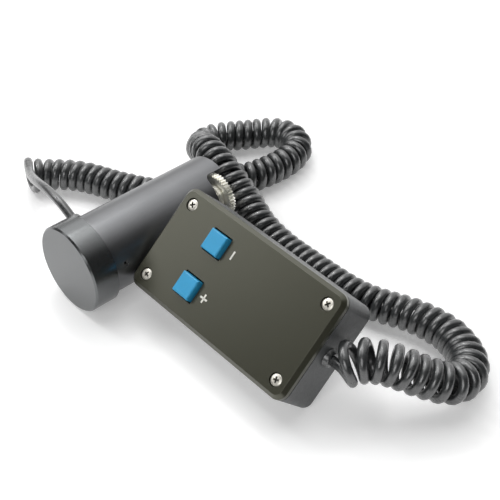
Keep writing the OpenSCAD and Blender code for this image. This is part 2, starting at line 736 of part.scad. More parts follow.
// Lead from the battery's snap over the battery and down to the board
module lead_over(x, y, z) {
    path = curve([
        [x, y, z], [x, y, (z + lead_z) / 2], [x, y + 0.4, lead_z - 0.6], [x, y + 2.5, lead_z],
        [x, battery_back_y + 10, lead_z], [x, battery_front_y - 8, lead_z],
        [x, battery_front_y - 0.5, lead_z], [x, board_edge_y + 1, lead_z - 1],
        [x, board_edge_y + 1.4, lead_z - 4], [x, board_edge_y + 1.4, switch_z + 4],
        [x, board_edge_y + 1.4, switch_z]
    ], 2);
    tube_along(path, lead_d / 2, lead_sides, [0, 0, 1], [0, 0, -1]);
}

module battery_leads() color([0.6, 0.1, 0.08]) at_handset()
    for (x = [-1, 1] * battery_lead_x) lead_over(x, snap_y + snap_t / 2, battery_mid_z + 6);

module handset_leads() color([0.75, 0.75, 0.72]) at_handset()
    for (side = [-1, 1]) {
        from_x = side * cord_d / 4;
        x = side * handset_lead_x;
        path = curve([
            [from_x, -case_len / 2 + stub_len, exit_z],
            [from_x, -case_len / 2 + stub_len + 0.6, exit_z],
            [(from_x + x) / 2, snap_y - lead_d, exit_z + 3], [x, snap_y - 0.5, lead_z - 2],
            [x, snap_y + 2, lead_z], [x, battery_back_y + 8, lead_z],
            [x, battery_front_y - 8, lead_z], [x, battery_front_y - 0.5, lead_z],
            [x, board_edge_y + 0.5, lead_z - 1.2], [x, board_edge_y + 0.9, lead_over_z + 1.5],
            [x, board_edge_y + 2.4, lead_over_z + 0.2], [x, button_y, lead_over_z],
            [x, board_land_y - 1.8, lead_over_z], [x, board_land_y - 0.3, lead_over_z - 1.5],
            [x, board_land_y, switch_z + 4], [x, board_land_y, switch_z]
        ], 2);
        tube_along(path, lead_d / 2, lead_sides, [0, 1, 0], [0, 0, -1]);
    }

module cord_grommet() color([0.06, 0.06, 0.06]) at_handset() cord_end() difference() {
    union() {
        cylinder(d1 = grommet_d, d2 = grommet_neck_d, h = grommet_out);
        translate([0, 0, -case_wall - eps]) cylinder(d = grommet_neck_d, h = case_wall + 2 * eps);
        translate([0, 0, -case_wall - 1.2]) cylinder(d = grommet_d - 0.6, h = 1.2);
    }
    translate([0, 0, -case_h]) cylinder(d = cord_d + 2 * cord_room, h = 2 * case_h);
}

module handset_cord_stub() color([0.06, 0.06, 0.06]) at_handset() cord_end()
    translate([0, 0, -stub_len]) cylinder(d = cord_d, h = stub_len + grommet_out);

module cord_tie() color([0.9, 0.9, 0.86]) at_handset() cord_end()
    translate([0, 0, -stub_len + 0.2]) difference() {
        union() {
            cylinder(d = cord_d + 2.4, h = 2);
            translate([-1.6, cord_d / 2 + 0.6, 0]) cube([3.2, 2.2, 2]);
        }
        translate([0, 0, -1]) cylinder(d = cord_d + 2 * cord_room, h = 4);
    }

module curly_cord() color([0.08, 0.08, 0.09]) {
    echo(str("least gap of the cord to itself: ", least_gap(curl_points, curl_rings - 2), " mm"));
    tube_along(cord_path, cord_d / 2, cord_sides, handset_exit_dir, -unit_exit_dir);
}

module bush_place() {
    on_tube(bush_angle, bush_u) children();
}

module cord_bush() color([0.06, 0.06, 0.06]) at_unit() bush_place() difference() {
    union() {
        translate([0, 0, tube_r]) cylinder(d1 = bush_d, d2 = bush_neck_d, h = bush_h);
        translate([0, 0, spigot_r - spigot_t])
            cylinder(d = bush_neck_d, h = tube_r - spigot_r + spigot_t + eps);
    }
    cylinder(d = cord_d + 2 * cord_room, h = 2 * tube_r);
}

module motor_cord_stub() color([0.06, 0.06, 0.06]) at_unit() bush_place()
    translate([0, 0, spigot_r - spigot_t - 3])
        cylinder(d = cord_d, h = tube_r + bush_h - spigot_r + spigot_t + 3);

module motor_leads() color([0.65, 0.12, 0.1]) at_unit() for (s = [-1, 1]) {
    from_r = spigot_r - spigot_t - 3;
    dir = [cos(bush_angle), sin(bush_angle), 0];
    side = s * lead_d * 0.7 * [0, 0, 1];
    tube_along(curve([
        from_r * dir + [0, 0, bush_u] + side, (from_r - 1.5) * dir + [0, 0, bush_u] + side,
        (from_r - 4) * dir + [0, s * 2, bush_u + s * 1.5],
        [terminal_x * s + 1, s * 1.5, bush_u + s * 1.5],
        [terminal_x * s, 0, bell_u - terminal_h - 1.5], [terminal_x * s, 0, bell_u - terminal_h]
    ], 3), lead_d / 2, lead_sides, -dir, [0, 0, 1]);
}

module set_screw_places() {
    for (a = set_screw_angles) on_tube(a, set_screw_u) children();
}

module motor_tube() color([0.13, 0.13, 0.14]) at_unit() difference() {
    translate([0, 0, cap_len]) cylinder(r = tube_r, h = unit_len - cap_len, $fn = 128);
    translate([0, 0, cap_len - 1]) cylinder(r = bore_r, h = unit_len, $fn = 128);
    set_screw_places() cylinder(d = set_screw_d + 0.1, h = 2 * tube_r);
    bush_place() cylinder(d = bush_neck_d + 0.1, h = 2 * tube_r);
    on_tube(notch_angle, unit_len) translate([0, 0, bore_r / 2]) linear_extrude(tube_r) {
        translate([0, -notch_w / 2 + notch_r]) square([notch_len, notch_w - 2 * notch_r]);
        translate([-1, -notch_w / 2]) square([notch_len - notch_r + 1, notch_w]);
        for (y = [-1, 1]) translate([notch_len - notch_r, y * (notch_w / 2 - notch_r)]) circle(notch_r);
    }
}

module end_cap() color([0.2, 0.2, 0.21]) at_unit() difference() {
    rotate_extrude($fn = 128) polygon([
        [0, 0], [cap_r - cap_chamfer, 0], [cap_r, cap_chamfer], [cap_r, cap_len], [spigot_r, cap_len],
        [spigot_r, spigot_end], [spigot_r - spigot_t, spigot_end], [spigot_r - spigot_t, cap_face_t],
        [0, cap_face_t]
    ]);
    set_screw_places() cylinder(d = set_screw_d + 0.1, h = 2 * tube_r);
    bush_place() cylinder(d = bush_neck_d + 0.1, h = 2 * tube_r);
}

module cap_set_screws() color([0.05, 0.05, 0.05]) at_unit() set_screw_places() difference() {
    translate([0, 0, spigot_r - spigot_t + 0.5])
        cylinder(d = set_screw_d, h = tube_r - spigot_r + spigot_t - 0.9);
    translate([0, 0, tube_r - 1.9]) cylinder(d = set_screw_d * 0.55, h = 2, $fn = 6);
}

module motor_can() color([0.62, 0.62, 0.64]) at_unit() difference() {
    translate([0, 0, can_u]) cylinder(d = motor_d, h = motor_len);
    translate([0, 0, can_u - 1]) cylinder(r = can_bore_r, h = motor_len + 1 - 2 * can_wall);
    cylinder(d = rotor_shaft_d + 2 * run_gap, h = unit_len);
    motor_screw_places() cylinder(d = motor_screw_d + 0.1, h = unit_len);
}

module motor_screw_places() {
    for (a = motor_screw_angles) rotate([0, 0, a]) translate([motor_screw_r, 0, 0]) children();
}

module motor_magnets() color([0.25, 0.25, 0.27]) at_unit() translate([0, 0, magnet_u]) difference() {
    cylinder(r = can_bore_r, h = magnet_len);
    translate([0, 0, -1]) cylinder(r = can_bore_r - magnet_t, h = magnet_len + 2);
    translate([0, 0, -1]) centred_box(8, motor_d, magnet_len + 2);
}

module motor_end_bell() color([0.9, 0.88, 0.8]) at_unit() {
    difference() {
        translate([0, 0, bell_u]) union() {
            cylinder(d = motor_d - 0.4, h = bell_len);
            translate([0, 0, bell_len - eps]) cylinder(r = can_bore_r - 0.1, h = 2);
        }
        translate([0, 0, bell_u + bell_len - 2]) cylinder(r = can_bore_r - 1.5, h = 10);
        translate([0, 0, bell_u + 1]) cylinder(d = rotor_shaft_d + 2 * run_gap, h = 10);
    }
    for (s = [-1, 1]) translate([terminal_x * s, 0, bell_u - terminal_h])
        centred_box(0.6, 2.4, terminal_h + eps);
}

module motor_screws() color([0.75, 0.75, 0.75]) at_unit() motor_screw_places()
    translate([0, 0, rear_plate_u + rear_plate_t]) {
        translate([0, 0, -screw_recess]) cylinder(d = motor_screw_head_d, h = screw_recess - 0.1);
        translate([0, 0, -rear_plate_t - 2 * can_wall - 1])
            cylinder(d = motor_screw_d, h = rear_plate_t + 2 * can_wall + 0.5);
    }

module rotor_shaft() color([0.8, 0.8, 0.82]) at_unit() translate([0, 0, bell_u + 1.3])
    cylinder(d = rotor_shaft_d, h = layer_u[0] + gear_t - bell_u - 1.3);

module rotor_core() color([0.6, 0.36, 0.18]) at_unit() translate([0, 0, core_u]) difference() {
    cylinder(d = core_d, h = core_len);
    translate([0, 0, -1]) cylinder(d = rotor_shaft_d, h = core_len + 2);
    for (a = [90, 210, 330]) rotate([0, 0, a]) translate([core_d / 2, 0, -1])
        cylinder(r = 3, h = core_len + 2);
}

module commutator() color([0.75, 0.45, 0.2]) at_unit() translate([0, 0, commutator_u]) difference() {
    cylinder(d = commutator_d, h = commutator_len);
    translate([0, 0, -1]) cylinder(d = rotor_shaft_d, h = commutator_len + 2);
}

// One gear of the train: its layer, place, phase and bore
module train_gear(layer, at, teeth, phase, bore_d) {
    translate([at[0], at[1], layer_u[layer]]) difference() {
        linear_extrude(gear_t) polygon(gear_outline(teeth, phase));
        translate([0, 0, -1]) cylinder(d = bore_d, h = gear_t + 2);
    }
}

// Wheel in one layer and pinion in the next, joined by a collar
module cluster(layer, at, phase) {
    bore_d = arbor_d + 2 * run_gap;
    train_gear(layer, at, wheel_teeth, phase, bore_d);
    train_gear(layer + 1, at, pinion_teeth, phase, bore_d);
    translate([at[0], at[1], layer_u[layer] + gear_t - eps]) difference() {
        cylinder(d = gear_module * (pinion_teeth - 2.6), h = gear_gap + 2 * eps);
        translate([0, 0, -1]) cylinder(d = bore_d, h = gear_gap + 2);
    }
}

module motor_pinion() color([0.85, 0.7, 0.35]) at_unit()
    train_gear(0, [0, 0], pinion_teeth, motor_phase, rotor_shaft_d);

module first_cluster_gear() color([0.85, 0.7, 0.35]) at_unit() cluster(0, first_at, first_phase);
module second_cluster_gear() color([0.85, 0.7, 0.35]) at_unit() cluster(1, second_at, second_phase);
module output_wheel() color([0.85, 0.7, 0.35]) at_unit() train_gear(2, output_at, output_teeth, 0, shaft_d);

module arbor_places() {
    for (at = [first_at, second_at]) translate([at[0], at[1], 0]) children();
}

module pillar_places() {
    for (a = pillar_angles) rotate([0, 0, a]) translate([bore_r - pillar_inset, 0, 0]) children();
}

module gearbox_rear_plate() color([0.7, 0.7, 0.72]) at_unit() translate([0, 0, rear_plate_u]) difference() {
    cylinder(r = bore_r - plate_gap, h = rear_plate_t);
    translate([0, 0, -1]) cylinder(d = gear_module * (pinion_teeth + 4), h = rear_plate_t + 2);
    translate([0, 0, -1]) arbor_places() cylinder(d = arbor_d, h = rear_plate_t + 2);
    translate([0, 0, -1]) motor_screw_places() cylinder(d = motor_screw_d + 0.1, h = rear_plate_t + 2);
    translate([0, 0, rear_plate_t - screw_recess]) motor_screw_places()
        cylinder(d = motor_screw_head_d + 0.2, h = screw_recess + 1);
}

module gearbox_front_plate() color([0.7, 0.7, 0.72]) at_unit() translate([0, 0, front_plate_u]) difference() {
    cylinder(r = bore_r, h = front_plate_t);
    translate([0, 0, -1]) arbor_places() cylinder(d = arbor_d, h = front_plate_t + 2);
    translate([output_at[0], output_at[1], -1]) cylinder(d = shaft_bush_d, h = front_plate_t + 2);
}

module gearbox_pillars() color([0.75, 0.75, 0.77]) at_unit() pillar_places()
    translate([0, 0, rear_plate_u + rear_plate_t])
        cylinder(d = pillar_d, h = front_plate_u - rear_plate_u - rear_plate_t);

module gear_arbors() color([0.8, 0.8, 0.82]) at_unit() arbor_places() translate([0, 0, rear_plate_u])
    cylinder(d = arbor_d, h = front_plate_u + front_plate_t - rear_plate_u);

module output_shaft() color([0.85, 0.85, 0.86]) at_unit()
    translate([output_at[0], output_at[1], layer_u[2]])
        cylinder(d = shaft_d, h = drive_u + drive_t - layer_u[2]);

module output_bush() color([0.72, 0.55, 0.25]) at_unit()
    translate([output_at[0], output_at[1], front_plate_u]) difference() {
        cylinder(d = shaft_bush_d, h = front_plate_t + shaft_bush_out);
        translate([0, 0, -1]) cylinder(d = shaft_d + 2 * run_gap, h = front_plate_t + shaft_bush_out + 2);
    }

drive_tip_r = drive_d / 2;
drive_root_r = drive_tip_r - 2.1 * drive_d / (drive_teeth + 2);
// Angles of a drive tooth's root and tip corners, as shares of the tooth's pitch
drive_tooth = [[-0.36, 0], [-0.14, 1], [0.14, 1], [0.36, 0]];
drive_outline = [
    for (k = [0:drive_teeth - 1], c = drive_tooth)
        let (a = 360 * (k + c[0]) / drive_teeth, r = c[1] == 1 ? drive_tip_r : drive_root_r)
        r * [cos(a), sin(a)]
];

module drive_gear() color([0.8, 0.79, 0.74]) at_unit() translate([output_at[0], output_at[1], hub_u])
    difference() {
        union() {
            translate([0, 0, hub_len]) linear_extrude(drive_t) polygon(drive_outline);
            rotate_extrude() polygon([
                [0, 0], [hub_d / 2, 0], [hub_d / 2, hub_mid],
                [hub_d / 2 + hub_ring_h, hub_mid], [hub_d / 2 + hub_ring_h, hub_mid + hub_ring_w],
                [hub_d / 2, hub_mid + hub_ring_w], [hub_d / 2, hub_len + eps], [0, hub_len + eps]
            ]);
        }
        translate([0, 0, -1]) cylinder(d = shaft_d, h = hub_len + drive_t + 2);
        translate([0, 0, hub_mid / 2]) rotate([90, 0, 0]) cylinder(d = drive_screw_d + 0.1, h = hub_d);
    }

module drive_gear_screw() color([0.1, 0.1, 0.1]) at_unit()
    translate([output_at[0], output_at[1], hub_u + hub_mid / 2]) rotate([90, 0, 0])
        translate([0, 0, shaft_d / 2 + 0.02]) difference() {
            cylinder(d = drive_screw_d, h = hub_d / 2 - shaft_d / 2 - 0.4);
            translate([0, 0, hub_d / 2 - shaft_d / 2 - 1.6])
                cylinder(d = drive_screw_d * 0.55, h = 2, $fn = 6);
        }

handset_case();
handset_lid();
lid_screws();
near_button_cap();
far_button_cap();
near_plunger();
far_plunger();
near_return_spring();
far_return_spring();
near_switch_body();
far_switch_body();
switch_board();
board_screws();
block_battery();
battery_snap();
battery_leads();
handset_leads();
cord_grommet();
handset_cord_stub();
cord_tie();
curly_cord();
cord_bush();
motor_cord_stub();
motor_leads();
motor_tube();
end_cap();
cap_set_screws();
motor_can();
motor_magnets();
motor_end_bell();
motor_screws();
rotor_shaft();
rotor_core();
commutator();
motor_pinion();
gearbox_rear_plate();
gearbox_front_plate();
gearbox_pillars();
gear_arbors();
first_cluster_gear();
second_cluster_gear();
output_wheel();
output_shaft();
output_bush();
drive_gear();
drive_gear_screw();
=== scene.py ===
"""Looks of the two-button hand controller, its curly cord and motor unit, round the CAD frame."""
import json
import math

import bmesh
import bpy
from mathutils import Matrix, Vector


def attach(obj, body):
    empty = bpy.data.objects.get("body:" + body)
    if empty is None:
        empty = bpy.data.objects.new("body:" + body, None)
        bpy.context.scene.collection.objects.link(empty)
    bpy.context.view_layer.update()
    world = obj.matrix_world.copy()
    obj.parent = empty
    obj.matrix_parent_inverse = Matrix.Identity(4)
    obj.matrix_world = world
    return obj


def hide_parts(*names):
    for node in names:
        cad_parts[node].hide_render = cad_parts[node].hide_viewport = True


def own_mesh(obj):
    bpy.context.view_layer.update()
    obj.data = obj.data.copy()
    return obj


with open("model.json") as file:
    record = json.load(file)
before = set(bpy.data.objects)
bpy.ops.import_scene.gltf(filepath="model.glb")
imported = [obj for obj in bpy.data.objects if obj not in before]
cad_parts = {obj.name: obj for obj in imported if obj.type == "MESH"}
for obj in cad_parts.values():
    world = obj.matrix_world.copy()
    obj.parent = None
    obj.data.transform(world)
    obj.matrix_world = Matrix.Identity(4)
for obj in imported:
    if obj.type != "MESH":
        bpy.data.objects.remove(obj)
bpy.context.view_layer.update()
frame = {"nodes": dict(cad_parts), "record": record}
NODES = frame["nodes"]
BODIES = frame["record"]["behaviour"]["bodies"]
BODY_OF = {node: body for body, members in BODIES.items() for node in members}
SLOT_OF = {s["node"]: s["material_slot"] for s in frame["record"]["subparts"]}
ROOT = "handset_and_motor"
MM = 0.001
scene = bpy.context.scene

# Places of the handset and the motor unit, in millimetres, as in the part's source
CASE_LEN, CASE_H = 99.5, 26.5
SCREW_X, SCREW_Y, SCREW_SUNK = 18.8, 42.55, 0.2
BUTTON_X, BUTTON_Y = 11.3, 19.25
EXIT_Z = 12.5
ROLL = math.radians(41)
UNIT_X, TUBE_Y, UNIT_Z = -43.468, 49.15, 21.834
TUBE_LEAN = math.atan(2 / 74.3)
HANDSET_AT = Vector((11.532, -20.9, 16.401))
TUBE_R, CAP_LEN = 19.5, 12.7


def from_handset(x, y, z):
    """A point of the handset, in millimetres in the shared frame."""
    return HANDSET_AT + Vector((x * math.cos(ROLL) - z * math.sin(ROLL), y,
                                x * math.sin(ROLL) + z * math.cos(ROLL)))


def from_unit(v, w, u):
    """A point of the motor unit: v across, w up, u along the tube from the cap's face."""
    return Vector((UNIT_X + u * math.cos(TUBE_LEAN) + w * math.sin(TUBE_LEAN), TUBE_Y + v,
                   UNIT_Z - u * math.sin(TUBE_LEAN) + w * math.cos(TUBE_LEAN)))


LID_NORMAL = Vector((-math.sin(ROLL), 0, math.cos(ROLL)))
HANDSET_MATRIX = (Matrix.Translation(HANDSET_AT * MM) @ Matrix.Rotation(-ROLL, 4, "Y")
                  @ Matrix.Scale(MM, 4))

# Camera, from a fit of the handset's and the tube's corners to the photograph
CAMERA_AT = Vector((-226.112, -273.55, 364.984)) * MM
CAMERA_RIGHT = Vector((0.738331, -0.674438, 0))
CAMERA_AHEAD = Vector((0.49767, 0.544817, -0.674907))
CAMERA_LENS, SENSOR_WIDTH = 78.641, 36
CAMERA_NEAR, CAMERA_FAR = 0.01, 20
camera_data = bpy.data.cameras.new("camera")
camera_data.sensor_width = SENSOR_WIDTH
camera_data.lens = CAMERA_LENS
camera_data.clip_start = CAMERA_NEAR
camera_data.clip_end = CAMERA_FAR
camera = bpy.data.objects.new("camera", camera_data)
scene.collection.objects.link(camera)
camera_up = CAMERA_RIGHT.cross(CAMERA_AHEAD)
camera.matrix_world = Matrix.Translation(CAMERA_AT) @ Matrix(
    (CAMERA_RIGHT, camera_up, -CAMERA_AHEAD)).transposed().to_4x4()
scene.camera = camera


# Materials
NOISE_ROUGH, PLASTIC_GRAIN, SHARP_ANGLE = 0.55, 500, 32
METAL_VARY, METAL_BUMP = 0.06, 0.00002
# Painted shade in the screw crosses: the depths below the lid's face, in metres, where the
# darkening starts and is full, and how dark it gets
CROSS_SHADE_FROM, CROSS_SHADE_TO, CROSS_SHADE_DARK = 0.00035, 0.0008, 0.16
COAT_WEIGHT, COAT_ROUGH = 0.8, 0.36


class Shader:
    """A Principled material and short ways to link procedural detail into it."""

    def __init__(self, name, color, rough, metal=0.0, specular=0.5, gleam=(1, 1, 1)):
        self.material = bpy.data.materials.new(name)
        self.material.use_nodes = True
        self.tree = self.material.node_tree
        self.bsdf = self.tree.nodes["Principled BSDF"]
        self.color = color
        self.bsdf.inputs["Base Color"].default_value = (*color, 1)
        self.bsdf.inputs["Roughness"].default_value = rough
        self.bsdf.inputs["Metallic"].default_value = metal
        self.bsdf.inputs["Specular IOR Level"].default_value = specular
        self.bsdf.inputs["Specular Tint"].default_value = (*gleam, 1)
        self.material.diffuse_color = (*color, 1)
        self.coords = self.node("ShaderNodeTexCoord").outputs["Object"]
        self.normal = None

    def node(self, kind, **values):
        made = self.tree.nodes.new(kind)
        for key, value in values.items():
            setattr(made, key, value)
        return made

    def link(self, a, b):
        self.tree.links.new(a, b)

    def noise(self, scale, detail, stretch=None):
        made = self.node("ShaderNodeTexNoise")
        made.inputs["Scale"].default_value = scale
        made.inputs["Detail"].default_value = detail
        made.inputs["Roughness"].default_value = NOISE_ROUGH
        if stretch:
            mapping = self.node("ShaderNodeMapping")
            mapping.inputs["Scale"].default_value = stretch
            self.link(self.coords, mapping.inputs["Vector"])
            self.link(mapping.outputs["Vector"], made.inputs["Vector"])
        else:
            self.link(self.coords, made.inputs["Vector"])
        return made.outputs["Fac"]

    def cells(self, scale):
        made = self.node("ShaderNodeTexVoronoi")
        made.inputs["Scale"].default_value = scale
        self.link(self.coords, made.inputs["Vector"])
        return made.outputs["Distance"]

    def depth(self, normal, at):
        """Distance below the plane through a point, in metres."""
        made = self.node("ShaderNodeVectorMath", operation="DOT_PRODUCT")
        made.inputs[1].default_value = -normal
        self.link(self.coords, made.inputs[0])
        moved = self.node("ShaderNodeMath", operation="ADD")
        moved.inputs[1].default_value = normal.dot(at)
        self.link(made.outputs["Value"], moved.inputs[0])
        return moved.outputs["Value"]

    def ramp(self, source, low, high, start=0.3, end=0.7):
        made = self.node("ShaderNodeMapRange")
        made.inputs["From Min"].default_value = start
        made.inputs["From Max"].default_value = end
        made.inputs["To Min"].default_value = low
        made.inputs["To Max"].default_value = high
        self.link(source, made.inputs["Value"])
        return made.outputs["Result"]

    def tint(self, source, dark, light, start=0.3, end=0.7):
        """Colour that goes from dark to light times the base colour."""
        made = self.node("ShaderNodeValToRGB")
        made.color_ramp.elements[0].position = start
        made.color_ramp.elements[1].position = end
        made.color_ramp.elements[0].color = (*[c * dark for c in self.color], 1)
        made.color_ramp.elements[1].color = (*[min(1, c * light) for c in self.color], 1)
        self.link(source, made.inputs["Fac"])
        self.link(made.outputs["Color"], self.bsdf.inputs["Base Color"])
        return self

    def gloss(self, source, low, high):
        self.link(self.ramp(source, low, high), self.bsdf.inputs["Roughness"])
        return self

    def bump(self, source, height, strength):
        made = self.node("ShaderNodeBump")
        made.inputs["Strength"].default_value = strength
        made.inputs["Distance"].default_value = height
        self.link(source, made.inputs["Height"])
        if self.normal:
            self.link(self.normal, made.inputs["Normal"])
        self.normal = made.outputs["Normal"]
        self.link(self.normal, self.bsdf.inputs["Normal"])
        return self


def case_shader():
    s = Shader("case_plastic", (0.074, 0.078, 0.079), 0.48, specular=0.8)
    s.tint(s.noise(90, 3), 0.93, 1.07)
    s.gloss(s.noise(700, 3), 0.42, 0.54)
    s.bump(s.cells(1900), 0.0001, 0.5)
    return s.bump(s.noise(3200, 2), 0.00006, 0.35).material


def lid_shader():
    s = Shader("lid_paint", (0.026, 0.026, 0.017), 0.3, specular=0.9, gleam=(1.0, 1.0, 0.84))
    s.tint(s.noise(45, 5), 0.96, 1.04)
    s.gloss(s.noise(900, 4), 0.28, 0.33)
    return s.bump(s.noise(2600, 3), 0.00003, 0.2).material


def blue_shader():
    s = Shader("blue_plastic", (0.03, 0.33, 0.6), 0.36)
    s.tint(s.noise(160, 3), 0.96, 1.04)
    s.gloss(s.noise(900, 3), 0.32, 0.42)
    return s.bump(s.noise(1800, 2), 0.00002, 0.3).material


def metal_shader(name, color, rough, scale=600, stretch=None, metal=1.0):
    s = Shader(name, color, rough, metal)
    s.tint(s.noise(scale / 4, 4), 1 - METAL_VARY, 1 + METAL_VARY)
    s.gloss(s.noise(scale, 4, stretch=stretch), rough * 0.8, rough * 1.2)
    return s.bump(s.noise(scale * 3, 2, stretch=stretch), METAL_BUMP, 0.4).material


def screw_shader():
    """Nickel with painted shade down in the cross, darker the deeper it lies below the lid's face.
    """
    s = Shader("nickel_screws", (0.93, 0.9, 0.81), 0.36, metal=0.7)
    # Painted shade: the nickel gets darker the deeper it lies below the lid's face
    painted_shade = s.depth(LID_NORMAL, from_handset(0, 0, CASE_H) * MM)
    s.tint(s.ramp(painted_shade, 1.0, 0.0, CROSS_SHADE_FROM, CROSS_SHADE_TO), CROSS_SHADE_DARK, 1.0, 0.0, 1.0)
    s.gloss(s.noise(900, 4), 0.28, 0.4)
    return s.bump(s.noise(2400, 2), 0.00002, 0.3).material


def plastic_shader(name, color, rough):
    s = Shader(name, color, rough)
    s.tint(s.noise(PLASTIC_GRAIN / 4, 4), 0.88, 1.1)
    s.gloss(s.noise(PLASTIC_GRAIN, 3), rough * 0.85, min(1, rough * 1.2))
    return s.bump(s.noise(PLASTIC_GRAIN * 3, 2), 0.00003, 0.35).material


def cord_shader():
    s = Shader("cord_rubber", (0.024, 0.026, 0.027), 0.3, specular=1.0)
    s.bsdf.inputs["Coat Weight"].default_value = COAT_WEIGHT
    s.bsdf.inputs["Coat Roughness"].default_value = COAT_ROUGH
    s.tint(s.noise(120, 4), 0.92, 1.1)
    s.gloss(s.noise(420, 4), 0.24, 0.34)
    return s.bump(s.noise(1500, 3), 0.00003, 0.3).material


def tube_shader():
    s = Shader("black_tube", (0.17, 0.173, 0.178), 0.34, metal=0.9)
    s.tint(s.noise(60, 4), 0.95, 1.05)
    s.gloss(s.noise(300, 4, stretch=(1, 6, 6)), 0.31, 0.37)
    return s.bump(s.noise(2400, 2, stretch=(0.3, 1, 1)), 0.00002, 0.25).material


def cap_shader():
    s = Shader("black_cap", (0.15, 0.155, 0.157), 0.24, metal=0.9)
    s.tint(s.noise(70, 4), 0.97, 1.03)
    s.gloss(s.noise(500, 4), 0.21, 0.27)
    return s.bump(s.noise(2600, 2), 0.00001, 0.2).material


def board_shader():
    s = Shader("board", (0.03, 0.16, 0.06), 0.4)
    s.tint(s.noise(900, 2, stretch=(1, 0.2, 1)), 0.8, 1.25)
    return s.bump(s.noise(2000, 2), 0.00002, 0.3).material


LOOKS = {
    "case_plastic": case_shader(),
    "lid_paint": lid_shader(),
    "nickel_screws": screw_shader(),
    "blue_plastic": blue_shader(),
    "white_plastic": plastic_shader("white_plastic", (0.75, 0.74, 0.68), 0.45),
    "steel": metal_shader("steel", (0.62, 0.62, 0.63), 0.3),
    "black_plastic": plastic_shader("black_plastic", (0.025, 0.025, 0.026), 0.45),
    "board": board_shader(),
    "battery_jacket": plastic_shader("battery_jacket", (0.22, 0.22, 0.25), 0.3),
    "red_wire": plastic_shader("red_wire", (0.5, 0.03, 0.025), 0.35),
    "grey_wire": plastic_shader("grey_wire", (0.45, 0.45, 0.43), 0.35),
    "cord_rubber": cord_shader(),
    "black_tube": tube_shader(),
    "black_cap": cap_shader(),
    "black_steel": metal_shader("black_steel", (0.2, 0.2, 0.205), 0.35),
    "magnet": plastic_shader("magnet", (0.1, 0.1, 0.105), 0.6),
    "copper": metal_shader("copper", (0.75, 0.4, 0.22), 0.35, 500, (1, 8, 8)),
    "gear_brass": metal_shader("gear_brass", (0.8, 0.62, 0.3), 0.3),
    "plate": metal_shader("plate", (0.6, 0.6, 0.62), 0.4, 400, (8, 1, 1)),
    "nickel_gear": metal_shader("nickel_gear", (0.97, 0.95, 0.87), 0.32, metal=0.8),
}


def smooth(mesh, angle):
    """Shade a mesh smooth, with sharp edges from an angle in degrees."""
    mesh.shade_smooth()
    mesh.set_sharp_from_angle(angle=math.radians(angle))


for node, obj in NODES.items():
    obj.data.materials.clear()
    obj.data.materials.append(LOOKS[SLOT_OF[node]])
    smooth(obj.data, SHARP_ANGLE)


# Cord: nearly the solid's route and the same rule, with more curls and rounder rings
CORD_D, CURL_D, END_CURL_D = 4.5, 16.5, 19.9
CURLS, CURL_GAP, OPEN_PITCH, OPEN_CURLS = 98.5, 1.1, 7.2, 34.0
TAPER_CURLS, LAST_CURLS, MOST_SPARSE, FIRST_TURN = 20.0, 1.5, 1.12, 0.25
CURL_LEAN, LEAN_CURLS = 0.22, 12.0
CLOSED_PITCH, BEND_EASE, BEND_LEAST, BEND_SPAN = 5.2, 0.8, 0.2, 3
ROUTE_STEPS, RINGS_PER_CURL, TAIL_RINGS, SMALL_TURN, CORD_ROUNDNESS = 12, 20, 16, 0.02, 4
GROMMET_OUT, BUSH_AT, BUSH_ANGLE, BUSH_H = 2.4, 4.4, math.radians(25), 2.5
TAIL_PULL = (9.0, 27.0, 60.0)
ROUTE = [Vector(p) * MM for p in (
    (3.9, -78.3, 27.2), (8.9, -81.8, 28.6), (14.2, -86.6, 28.6), (20, -92.6, 26.3),
    (24.6, -97.7, 23.1), (28.9, -102.2, 20.4), (33, -106.2, 18), (38.4, -109.7, 15.8),
    (45.8, -110.4, 13.8), (52.4, -107.4, 12.4), (57.8, -101.8, 11.3), (61.4, -94.3, 10.5),
    (63.2, -85, 10), (61, -69, 9.4), (52, -43.4, 8.6), (49.9, -9.3, 8.5),
    (49.6, 7.7, 9.5), (50.1, 21.1, 12.7), (52.9, 34.8, 18), (54, 49, 25),
    (56, 60, 27), (59, 71, 26), (64, 81, 18.5), (70, 89, 12), (77, 94, 9), (85, 93, 8.5),
    (99, 84, 8.5), (110.5, 76, 8.5), (114.5, 66.5, 8.5), (110.3, 57, 8.5), (100.5, 53, 8.5),
    (88, 53, 8.5), (74, 56, 8.5), (61, 63.5, 8.5), (47.5, 73.5, 8.5), (31, 78, 8.5),
    (20.4, 94, 8.5), (10.5, 115, 8.5), (-1, 127.5, 8.9), (-10.8, 132.7, 10))]


def catmull(points, steps):
    """Smooth curve through points, with that many steps from point to point."""
    last = len(points) - 1
    out = []
    for i in range(last):
        a, b = points[max(i - 1, 0)], points[i]
        c, d = points[i + 1], points[min(i + 2, last)]
        for k in range(steps):
            t = k / steps
            out.append((2 * b + (c - a) * t + (2 * a - 5 * b + 4 * c - d) * t * t
                        + (3 * b - a - 3 * c + d) * t * t * t) / 2)
    return out + [points[last]]


def bridge(p, v, q, w, t):
    """Cubic from p to q that leaves along v and arrives along w."""
    return (p * (2 * t ** 3 - 3 * t ** 2 + 1) + v * (t ** 3 - 2 * t ** 2 + t)
            + q * (3 * t ** 2 - 2 * t ** 3) + w * (t ** 3 - t ** 2))


